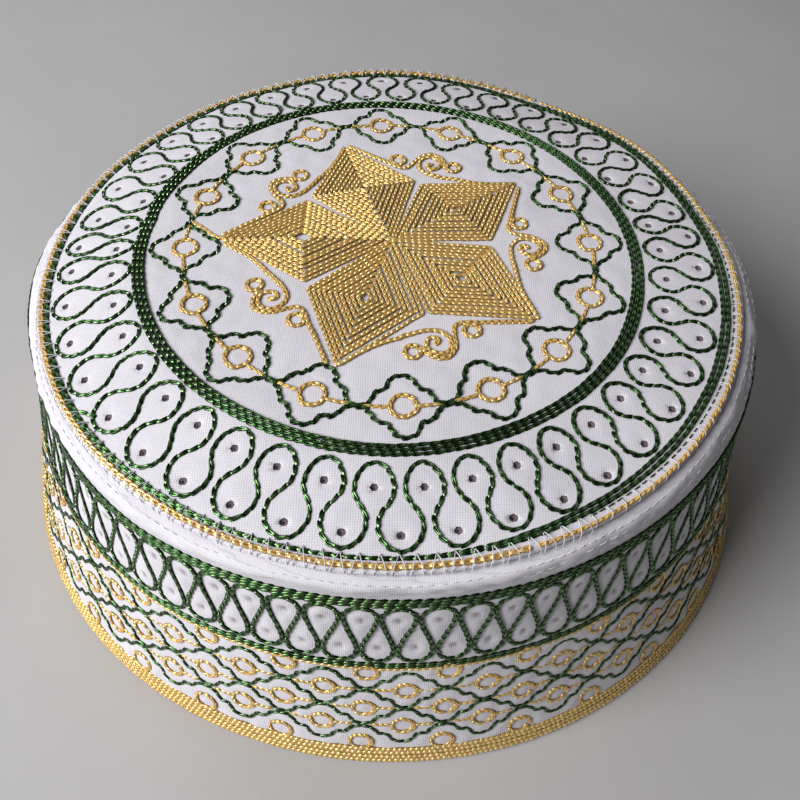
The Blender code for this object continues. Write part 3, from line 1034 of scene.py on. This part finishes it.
def puff(tree, points, reach=1.6):
    """Share by which the cloth is free to rise at points, 0 at a stitch."""
    far = np.array([tree.find(Vector(point))[2] for point in points])
    return 1 - np.exp(-(far / reach) ** 2)


def soft_noise(places, size, seed, waves=10):
    """A smooth random field of unit strength on 2-D or 3-D places, with features of a size."""
    source = rng(seed)
    total = np.zeros(len(places))
    for _ in range(waves):
        way = source.normal(0, 1, places.shape[1])
        way *= 2 * np.pi / (size * np.linalg.norm(way)) * source.uniform(0.6, 1.4)
        total += np.sin(places @ way + source.uniform(0, 2 * np.pi))
    return total / math.sqrt(waves / 2)


def clear_of(place, eyelets, reach):
    return np.min(np.hypot(*(eyelets - place).T)) > reach


def crown_layout(eyelets):
    """Flat triangulated layout of the crown with its eyelets left open."""
    points = [Vector((0.0, 0.0))]
    edges = []
    for radius in np.arange(CROWN_SPACING, CROWN_RADIUS - 0.8, 1.0):
        count = max(int(2 * math.pi * radius / CROWN_SPACING), 6)
        numbers = np.arange(count) + 0.5 * (int(radius) % 2)
        ring = polar(np.degrees(2 * np.pi * numbers / count), radius)
        points += [Vector(place) for place in ring if clear_of(place, eyelets, 1.25 * EYELET_RADIUS)]
    loops = [polar(360.0 * np.arange(CROWN_EDGE_POINTS) / CROWN_EDGE_POINTS, CROWN_RADIUS - 0.5)]
    loops += [circle(x, y, EYELET_RADIUS, count=12) for x, y in eyelets]
    for loop in loops:
        start = len(points)
        points += [Vector(place) for place in loop]
        edges += [(start + i, start + (i + 1) % len(loop)) for i in range(len(loop))]
    verts, _, faces, *_ = delaunay_2d_cdt(points, edges, [], 1, 1e-5)
    verts = np.array([tuple(vert) for vert in verts])
    kept = []
    for face in faces:
        if clear_of(verts[list(face)].mean(axis=0), eyelets, 0.9 * EYELET_RADIUS):
            kept.append(tuple(face))
    return verts, kept


def border_edges(faces):
    """Directed edges that only one face uses: the rim and the eyelets' edges."""
    used = set()
    for face in faces:
        for i, a in enumerate(face):
            used.add((a, face[(i + 1) % len(face)]))
    return sorted((a, b) for a, b in used if (b, a) not in used)


def roll_edges(layout, faces, eyelets):
    """The cloth's rim and eyelet edges, between its top and its underside.

    Gives back the new points' places and drops, the faces, and for each face whether it lies
    inside an eyelet.
    """
    along = np.hypot(layout[:, 0], layout[:, 1])
    at_rim = along > CROWN_RADIUS - 1.0
    places, drops, rolls = [], [], {}
    sides, inside = [], []
    for a, b in border_edges(faces):
        for i in (a, b):
            if i in rolls:
                continue
            if at_rim[i]:
                way, steps = layout[i] / along[i], RIM_ROLL
            else:
                middle = eyelets[np.argmin(np.hypot(*(eyelets - layout[i]).T))]
                way, steps = (middle - layout[i]) / np.linalg.norm(middle - layout[i]), EYELET_ROLL
            first = 2 * len(layout) + len(places)
            rolls[i] = [i, *range(first, first + len(steps)), len(layout) + i]
            places += [layout[i] + way * out for out, _ in steps]
            drops += [drop for _, drop in steps]
        for j in range(len(rolls[a]) - 1):
            sides.append((rolls[b][j], rolls[a][j], rolls[a][j + 1], rolls[b][j + 1]))
            inside.append(not at_rim[a])
    return np.array(places), np.array(drops), sides, inside


def make_crown_cloth(material, painted_shade_material, held, eyelets):
    """The crown's cloth: pulled down at the stitches, puffed between them, edge rolled under."""
    layout, faces = crown_layout(eyelets)
    count = len(layout)
    along = np.hypot(layout[:, 0], layout[:, 1])
    free = puff(held, on_crown(layout)) * np.clip((CROWN_RADIUS - 1.5 - along) / 3.0, 0.0, 1.0)
    rise = free * (0.12 + 0.04 * soft_noise(layout, 6.0, 11)) + 0.05 * soft_noise(layout, 26.0, 12)
    to_eyelet = np.min([np.hypot(*(layout - eyelet).T) for eyelet in eyelets], axis=0)
    rise -= 0.22 * np.exp(-(to_eyelet / 1.4) ** 2)
    places, drops, sides, inside = roll_edges(layout, faces, eyelets)
    vertices = np.concatenate((
        on_crown(layout, rise),
        on_crown(layout, np.full(count, -CLOTH)),
        on_crown(places, drops),
    ))
    under = [tuple(count + i for i in reversed(face)) for face in faces]
    piece = make_mesh("crown_cloth", vertices, faces + under + sides, material)
    # The faces rolled into the eyelets get the painted shade that stands in for the cap's dark inside
    piece.data.materials.append(painted_shade_material)
    for k, in_eyelet in enumerate(inside):
        piece.data.polygons[2 * len(faces) + k].material_index = int(in_eyelet)
    return piece


def band_tuck(azimuth, depth):
    """The inner edge of the band, turned in under the crown's top at a depth."""
    radius, height = crown_section(azimuth, TUCK_RADIUS, -depth)
    return on_band(azimuth, radius, height)


def dimple_reach(place, dimples):
    """Distance to the nearest dimple of one height, in shares of its size."""
    away = np.abs(half_turn(place[:, 0][:, None] - dimples[None, :, 0])).min(axis=1)
    away = np.radians(away) * SHOULDER_RADIUS
    return np.hypot(away / DIMPLE_WIDTH, (place[:, 1] - dimples[0, 1]) / DIMPLE_HEIGHT)


def make_band_cloth(material, held):
    """The band's cloth, with its shoulder puckered and a dimple inside each lobe, marked for painted
    shade.
    """
    azimuth = uneven_azimuth(360.0 * np.arange(BAND_COLUMNS) / BAND_COLUMNS)
    dimples = wall_dimples()
    rows = [band_tuck(azimuth, CLOTH + GAP)]
    dimple_shade_rows = {}
    for share in np.linspace(0.0, 1.0, 15):
        place = level(azimuth, share)
        flat = on_shoulder(place)
        ease = math.sin(math.pi * min(share * 1.05, 1.0)) ** 0.7 if share < 0.95 else 0.0
        pucker = 0.10 * soft_noise(flat, 3.4, 21) + 0.16 * soft_noise(flat, 11.0, 22)
        rows.append(on_shoulder(place, ease * pucker))
    for height in np.concatenate([np.arange(*steps) for steps in BAND_HEIGHTS]):
        place = level(azimuth, height)
        flat = on_wall(place)
        free = puff(held, flat, 1.5)
        lift = free * (0.24 + 0.08 * soft_noise(flat, 5.0, 23)) + 0.05 * soft_noise(flat, 25.0, 24)
        if 38.0 < height < 58.0:
            far = np.min([dimple_reach(place, row) for row in dimples], axis=0)
            lift -= 0.45 * np.exp(-far ** 2)
            # Painted shade: share of the darker tint at each dimple, kept on the mesh for the cotton
            # material
            dimple_shade_rows[len(rows)] = 0.9 * np.exp(-(far / 0.9) ** 4)
        if height < 6.5:
            lift *= height / 6.5
        rows.append(on_wall(place, lift))
    for height in np.linspace(0.0, WALL_TOP, 7):
        row = on_wall(level(azimuth, height), -CLOTH)
        if height == 0.0:
            row[:, 2] = 0.0
        rows.append(row)
    rows += [on_shoulder(level(azimuth, share), -CLOTH) for share in (0.67, 0.33, 0.0)]
    rows.append(band_tuck(azimuth, 2 * CLOTH + GAP))
    index = np.arange(len(rows) * BAND_COLUMNS).reshape(len(rows), BAND_COLUMNS)
    following = np.roll(index, -1, axis=1)
    below, below_following = np.roll(index, -1, axis=0), np.roll(following, -1, axis=0)
    faces = np.stack((index, below, below_following, following), axis=-1).reshape(-1, 4)
    piece = make_mesh("band_cloth", np.concatenate(rows), faces.tolist(), material)
    shares = np.zeros((len(rows), BAND_COLUMNS, 3), dtype=np.float32)
    for row, share in dimple_shade_rows.items():
        shares[row, :, 0] = share
    attribute = piece.data.attributes.new("dimple_shade", "FLOAT_VECTOR", "POINT")
    attribute.data.foreach_set("vector", shares.ravel())
    return piece


# Pieces

def make_materials():
    return {
        "cotton_flat": cotton_material("white_cotton_crown", wrapped=False),
        "cotton_round": cotton_material("white_cotton_band", wrapped=True),
        # Thread colours: body, then tail, a lighter colour that is painted highlight; inner is painted
        # shade
        "green": thread_material(
            "green_rayon", (0.017, 0.056, 0.015), (0.205, 0.395, 0.155),
            metallic=0.92, roughness=0.235, inner=0.22),
        "gold": thread_material(
            "gold_metallic", (0.96, 0.57, 0.150), (1.0, 0.80, 0.36),
            metallic=0.45, roughness=0.25, inner=0.45),
        "white": white_thread_material("white_sewing_thread"),
        "eyelet": eyelet_shade_material("eyelet_painted_shade"),
        "floor": floor_material("studio_floor"),
    }


def rows_on(surface, lines, seed, closed=True, **stitch):
    """Rows of chain stitch along lines of one surface."""
    made = []
    for number, line in enumerate(lines):
        line = fine(line, closed)
        seam = Seam(surface, line[:-1] if closed else line, closed)
        made.append(chain(seam, seed + number, **stitch))
    return made


def wall_rows(lines, seed, closed=True, **stitch):
    """Rows of chain stitch along lines of azimuth and height on the wall."""
    made = []
    for number, line in enumerate(lines):
        if closed:
            line = np.concatenate((line, line[:1] + (360.0, 0.0)))
        line = fine(line * WALL_SCALE, closed=False) / WALL_SCALE
        seam = Seam(on_wall, line[:-1] if closed else line, closed)
        made.append(chain(seam, seed + number, steps=WALL_LEG_STEPS, **stitch))
    return made


def make_edge_rows(materials):
    """The rows at the crown's edge and its ring. Those on the right are sewn the other way."""
    left, right = edge_part(3, -300.0, -70.0), edge_part(3, -69.0, 59.0)
    rows = rows_on(on_crown, [left], 100, closed=False, **RIM_STITCH)
    rows += rows_on(on_crown, [right[::-1]], 101, closed=False, **RIGHT_RIM_STITCH)
    piece = sew("rim_gold_row", rows, materials["gold"])
    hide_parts("rim_cord")
    rows = []
    for number in (1, 2):
        left, right = edge_part(number, -300.0, -76.0), edge_part(number, -75.5, 59.5)
        rows += rows_on(on_crown, [left], 110 + number, closed=False, **EDGE_STITCH)
        rows += rows_on(on_crown, [right[::-1]], 115 + number, closed=False, **RIGHT_EDGE_STITCH)
    piece = sew("edge_green_rows", rows, materials["green"])
    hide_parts("edge_ring")
    rows = rows_on(on_crown, [ring_row(radius)[::-1] for radius in RING_ROWS], 120, **RING_STITCH)
    piece = sew("triple_ring_rows", rows, materials["green"])
    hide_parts("crown_ring")


def make_star(materials):
    for number, point in enumerate(STAR_POINTS, start=1):
        rows = []
        for k, (row, line) in enumerate(star_sides(point)):
            seam = Seam(on_crown, fine(line, closed=False, step=0.5), lift=0.05 + 0.05 * row)
            rows.append(chain(seam, 1000 * number + k, **STAR_STITCH))
        piece = sew(f"star_rows_{number}", rows, materials["gold"])
        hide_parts(f"star_point_{number}")


def make_crown_lines(materials):
    """The crown's lines, rings and scrolls. Gives back the lines that hold its cloth down."""
    winding = crown_winding()
    link, tie = (polar(column(row, 0), column(row, 1)) for row in (LINK_ROW, TIP_ROW))
    rows = rows_on(on_crown, [winding], 200, **WINDING_STITCH)
    rows += rows_on(on_crown, [link], 205, closed=False, **LINK_STITCH)
    sew("crown_winding_line", rows, materials["green"])
    outlines = flower_lines()
    rows = rows_on(on_crown, outlines, 210, **FLOWER_STITCH)
    sew("flower_outlines", rows, materials["green"])
    rings, bars = flower_details()
    rows = rows_on(on_crown, rings, 220, **FLOWER_RING_STITCH)
    rows += rows_on(on_crown, bars + [smooth_line(tie)], 260, closed=False, **FLOWER_BAR_STITCH)
    sew("flower_rings", rows, materials["gold"])
    held = [winding] + outlines + rings
    rows = []
    for k, middle in enumerate(SCROLL_TURNS):
        curves = [smooth_line(turn_scroll(points, middle)) for points in (SCROLL_STEM, SCROLL_HOOK)]
        loops = [turn_scroll(circle(x, y, radius, start=1.0), middle) for x, y, radius in SCROLL_RINGS]
        rows += rows_on(on_crown, curves, 300 + 10 * k, closed=False, **SCROLL_STITCH)
        rows += rows_on(on_crown, loops, 305 + 10 * k, **SCROLL_STITCH)
        held += curves + loops
    sew("star_scrolls", rows, materials["gold"])
    return held


def make_wall_lines(materials):
    """The wall's rows, lines and rings. Gives back the lines that hold its cloth down."""
    upper, lower, hem = [
        [wall_row(height) for height in heights]
        for heights in (UPPER_BORDER_ROWS, LOWER_BORDER_ROWS, HEM_ROWS)
    ]
    rows = wall_rows(upper, 400, **UPPER_BORDER_STITCH)
    piece = sew("upper_border_rows", rows, materials["green"])
    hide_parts("upper_border")
    rows = wall_rows(lower, 410, **LOWER_BORDER_STITCH)
    piece = sew("lower_border_rows", rows, materials["green"])
    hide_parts("lower_border")
    rows = wall_rows([wall_row(THIN_GOLD_ROW)], 420, **THIN_GOLD_STITCH)
    sew("thin_gold_row", rows, materials["gold"])
    rows = wall_rows(hem, 430, **HEM_STITCH)
    piece = sew("hem_rows", rows, materials["gold"])
    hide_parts("hem_braid")
    winding = wall_winding()
    rows = wall_rows([winding], 440, **WALL_WINDING_STITCH)
    sew("wall_winding_line", rows, materials["green"])
    waves = [lattice_line(*line) for line in LATTICE_LINES]
    rows = wall_rows(waves, 450, **LATTICE_STITCH)
    sew("lattice_lines", rows, materials["green"])
    rings, bars = lattice_details()
    rows = wall_rows(rings, 500, closed=False, **LATTICE_RING_STITCH)
    rows += wall_rows(bars, 800, closed=False, **LATTICE_BAR_STITCH)
    sew("lattice_rings", rows, materials["gold"])
    return [winding] + waves + rings + upper + lower


def make_whip_stitches(materials):
    """White whip stitches over the rim: a V with its point inwards, or one short leg."""
    source = rng(600)
    made = []
    count = int(2 * math.pi * RIM_RADIUS / WHIP_PITCH)
    for k in range(count):
        azimuth = 360.0 * (k + source.uniform(-0.10, 0.10)) / count
        gold = float(read(EDGE_ROWS, half_turn(azimuth), 3))
        leg, scale, ways = WHIP_LEG, 1.0, (-1, 1)
        if abs(half_turn(azimuth)) < SHORT_WHIP_SIDE:
            leg, scale, ways = SHORT_WHIP_LEG, SHORT_WHIP_SCALE, (-1,)
        for way in ways:
            spread = way * scale * (0.72 + source.uniform(-0.12, 0.12))
            azimuths = azimuth + spread * column(leg, 0)
            path = np.stack((azimuths, gold + column(leg, 1), column(leg, 2)), axis=1)
            path = smooth_line(path, steps=3)
            line = on_crown(polar(path[:, 0], path[:, 1]), path[:, 2])
            made.append(tube(line, WHIP_THREAD, tone=source.uniform(), sides=4))
    sew("whip_stitches", made, materials["white"])


def make_running_stitches(materials):
    """White running stitches along the shoulder, wavy on its right side."""
    source = rng(610)
    made = []
    for share, pitch, wave, start, end in RUNNING_ROWS:
        step = math.degrees(pitch / SHOULDER_RADIUS)
        for k in range(int((end - start) / step)):
            middle = start + step * (k + source.uniform(-0.12, 0.12))
            drift = wave * math.sin(k * 0.55) + source.uniform(-0.012, 0.012)
            azimuths = middle + 0.34 * step * np.array((-1.0, -0.7, 0.0, 0.7, 1.0))
            lifts = np.array((-0.12, 0.05, 0.1, 0.05, -0.12))
            line = on_shoulder(level(azimuths, share + drift), lifts)
            made.append(tube(line, RUNNING_THREAD, tone=source.uniform()))
    sew("running_stitches", made, materials["white"])


def make_seam_line(materials):
    """Thin dark green dashes between the green rows and the gold one."""
    source = rng(620)
    made = []
    for k in range(SEAM_DASHES):
        middle = SEAM_START + SEAM_PITCH * (k + source.uniform(-0.1, 0.1))
        azimuths = middle + np.linspace(-0.55, 0.55, 5)
        radii = read(SEAM_LINE, azimuths, 1, ease=True)
        lifts = np.array((-0.1, 0.18, 0.24, 0.18, -0.1))
        made.append(tube(on_crown(polar(azimuths, radii), lifts), SEAM_THREAD, tone=source.uniform()))
    sew("edge_seam_dashes", made, materials["green"])


def lines_to_points(surface, lines):
    return np.concatenate([surface(np.asarray(line)) for line in lines])


def build_cap():
    materials = make_materials()
    make_edge_rows(materials)
    make_star(materials)
    crown_held = make_crown_lines(materials)
    wall_held = make_wall_lines(materials)
    crown_held += [edge_part(1, -180.0, 180.0), edge_part(3, -180.0, 180.0)]
    crown_held += [ring_row(radius) for radius in RING_ROWS]
    for point in STAR_POINTS:
        crown_held += [fine(line, closed=False, step=1.0) for _, line in star_sides(point)]
    crown = make_crown_cloth(
        materials["cotton_flat"], materials["eyelet"],
        sink_tree(lines_to_points(on_crown, crown_held)), eyelet_places())
    band = make_band_cloth(materials["cotton_round"], sink_tree(lines_to_points(on_wall, wall_held)))
    for piece, node in ((crown, "crown"), (band, "side_band")):
        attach(piece, "root")
        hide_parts(node)
    make_whip_stitches(materials)
    make_running_stitches(materials)
    make_seam_line(materials)
    return materials


# Stage

def make_floor(material):
    half = 3000.0
    corners = ((-half, -half, 0.0), (half, -half, 0.0), (half, half, 0.0), (-half, half, 0.0))
    floor = make_mesh("studio_floor", corners, [(0, 1, 2, 3)], material)


LIGHTS = (
    # name, azimuth and elevation in degrees, distance and size in metres, power and colour
    ("window_light", -152, 38.5, 1.15, 0.75, 16.0, (1.0, 0.985, 0.995)),
    ("back_light", 120, 48, 1.3, 0.8, 2.0, (0.95, 0.95, 1.0)),
)
LIGHT_TARGET = (0.0, 0.0, 0.04)
ROOM_COLOUR, ROOM_STRENGTH = (1.0, 0.97, 0.93, 1.0), 0.085


def add_light(name, azimuth, elevation, distance, size, power, colour):
    """A round lamp turned towards the cap, at an azimuth and elevation in degrees."""
    light = bpy.data.lights.new(name, "AREA")
    light.shape = "DISK"
    light.size = size
    light.energy = power
    light.color = colour
    lamp = bpy.data.objects.new(name, light)
    a, e = math.radians(azimuth), math.radians(elevation)
    lamp.location = [distance * part for part in (
        math.cos(e) * math.cos(a), math.cos(e) * math.sin(a), math.sin(e))]
    way = Vector(LIGHT_TARGET) - lamp.location
    lamp.rotation_euler = way.to_track_quat("-Z", "Y").to_euler()
    bpy.context.collection.objects.link(lamp)


def light_scene():
    for light in LIGHTS:
        add_light(*light)
    world = bpy.data.worlds.new("soft_room")
    world.use_nodes = True
    background = world.node_tree.nodes["Background"]
    background.inputs["Color"].default_value = ROOM_COLOUR
    background.inputs["Strength"].default_value = ROOM_STRENGTH
    bpy.context.scene.world = world


# The camera: focal length in pixels of an 800-pixel frame, where the middle of the crown
# is seen in that frame, its distance, the angle above the floor and the roll
FRAME = 800.0
FOCAL = 831.15
CROWN_AT = (390.436, 244.176)
DISTANCE = 188.16
ELEVATION = 41.5936
ROLL = -2.2264
SENSOR = 36.0


def make_camera():
    angle = math.radians(ELEVATION)
    right = Vector((1.0, 0.0, 0.0))
    back = Vector((0.0, -math.cos(angle), math.sin(angle)))
    up = back.cross(right)
    unrolled = Matrix((right, up, back))
    roll = Matrix.Rotation(math.radians(ROLL), 3, "Z")
    half = FRAME / 2
    sight = Vector(((CROWN_AT[0] - half) / FOCAL, -(CROWN_AT[1] - half) / FOCAL, -1.0)).normalized()
    swing = Vector((0.0, 0.0, -1.0)).rotation_difference(sight).to_matrix()
    to_camera = swing @ roll @ unrolled
    to_world = to_camera.transposed()
    middle = Vector((CROWN_SHIFT, 0.0, HEIGHT))
    location = (middle - to_world @ (sight * DISTANCE)) * MM
    camera = bpy.data.cameras.new("camera")
    camera.sensor_width = SENSOR
    camera.lens = FOCAL / FRAME * SENSOR
    camera.clip_start = 0.01
    camera.clip_end = 10.0
    eye = bpy.data.objects.new("camera", camera)
    eye.matrix_world = Matrix.Translation(location) @ to_world.to_4x4()
    bpy.context.collection.objects.link(eye)
    bpy.context.scene.camera = eye


make_camera()
cap_materials = build_cap()
make_floor(cap_materials["floor"])
light_scene()
bpy.context.scene.view_settings.view_transform = "Standard"
